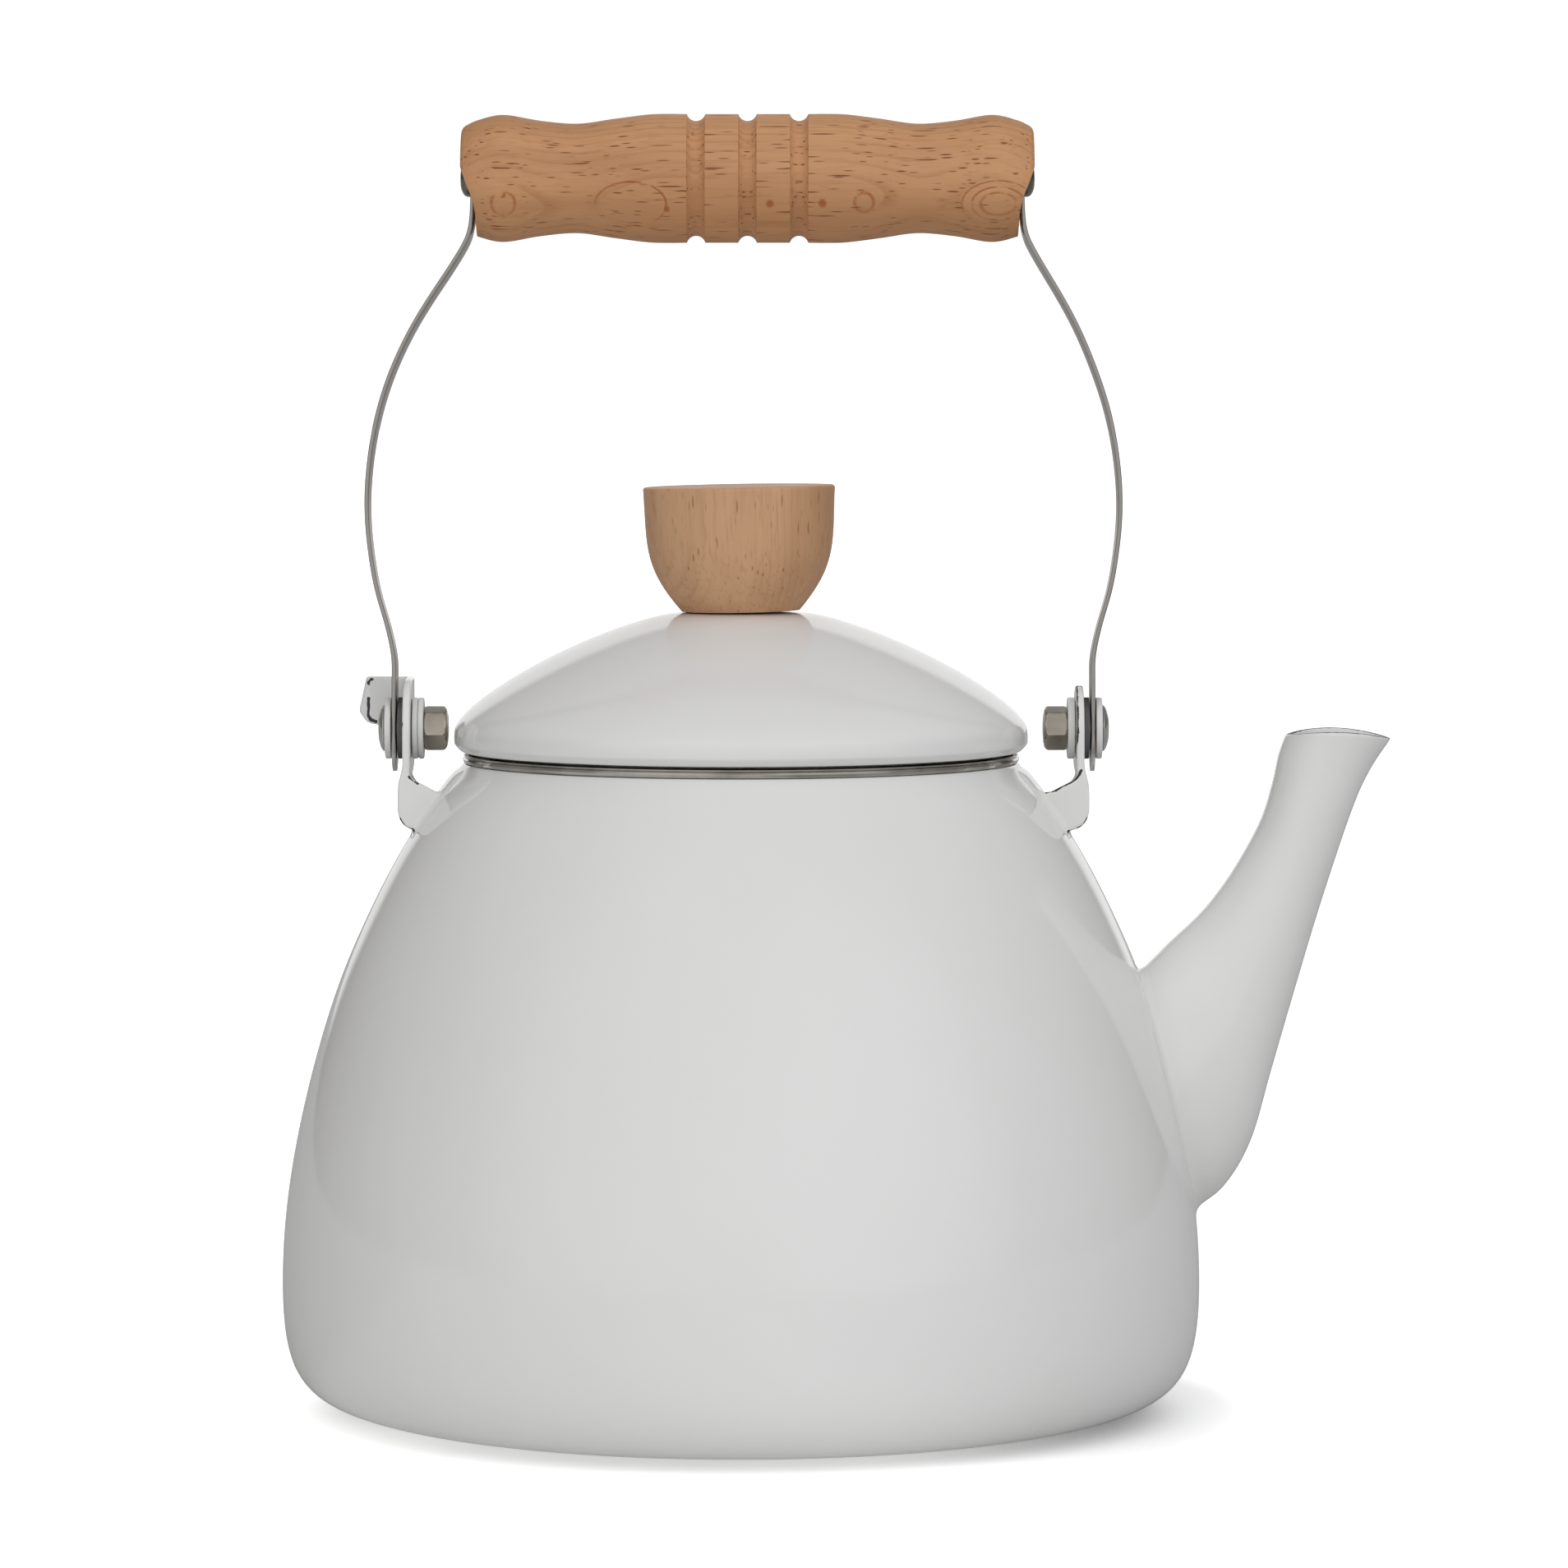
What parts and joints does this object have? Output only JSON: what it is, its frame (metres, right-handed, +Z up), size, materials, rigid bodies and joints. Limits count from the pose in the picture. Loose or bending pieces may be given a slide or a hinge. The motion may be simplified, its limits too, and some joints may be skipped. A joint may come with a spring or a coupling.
{
  "type": "stovetop kettle",
  "caption": "Enamelled steel stovetop kettle with a welded open spout, a lift-off lid with a turned wooden knob, and a swinging strap handle with a turned wooden grip.",
  "frame": {"origin": "middle of the flat base, on the surface that the kettle stands on", "axes": "+Z up along the body's axis; +X towards the spout; the handle's pivot line is along X and it falls forwards to -Y"},
  "size_m": [0.2255, 0.1868, 0.2639],
  "materials": {
    "white_enamel": "glossy vitreous enamel on sheet steel",
    "bright_steel": "polished stainless steel",
    "strap_steel": "satin spring steel strip",
    "nickel": "nickel plate, slightly warm",
    "white_nylon": "smooth moulded nylon",
    "dark_fibre": "dull",
    "beech": "fine turned, thinly sealed beech"
  },
  "bodies": {
    "kettle": {"body_shell": "white_enamel", "spout": "white_enamel", "rim_ring": "bright_steel", "left_lug": "white_enamel", "left_pivot_bolt": "bright_steel", "left_cap_nut": "nickel", "left_inner_washer_1": "white_nylon", "left_inner_washer_2": "white_nylon", "left_friction_washer": "dark_fibre", "left_outer_washer": "white_nylon", "right_lug": "white_enamel", "right_pivot_bolt": "bright_steel", "right_cap_nut": "nickel", "right_inner_washer_1": "white_nylon", "right_friction_washer": "dark_fibre", "right_outer_washer": "white_nylon"},
    "handle": {"left_strap": "strap_steel", "right_strap": "strap_steel", "grip": "beech", "grip_rod": "bright_steel", "left_grip_cap": "nickel", "right_grip_cap": "nickel"},
    "lid": {"lid_shell": "white_enamel", "lid_flange": "white_enamel", "lid_knob": "beech", "knob_screw": "bright_steel", "knob_washer": "bright_steel"}
  },
  "joints": [
    {"name": "handle_swing", "type": "hinge", "parent": "kettle", "child": "handle", "pos_m": [0, 0, 0.1394], "axis": [1, 0, 0], "range_deg": [0, 121]},
    {"name": "lid_lift", "type": "slide", "parent": "kettle", "child": "lid", "axis": [0, 0, 1], "range_m": [0, 0.04]}
  ]
}
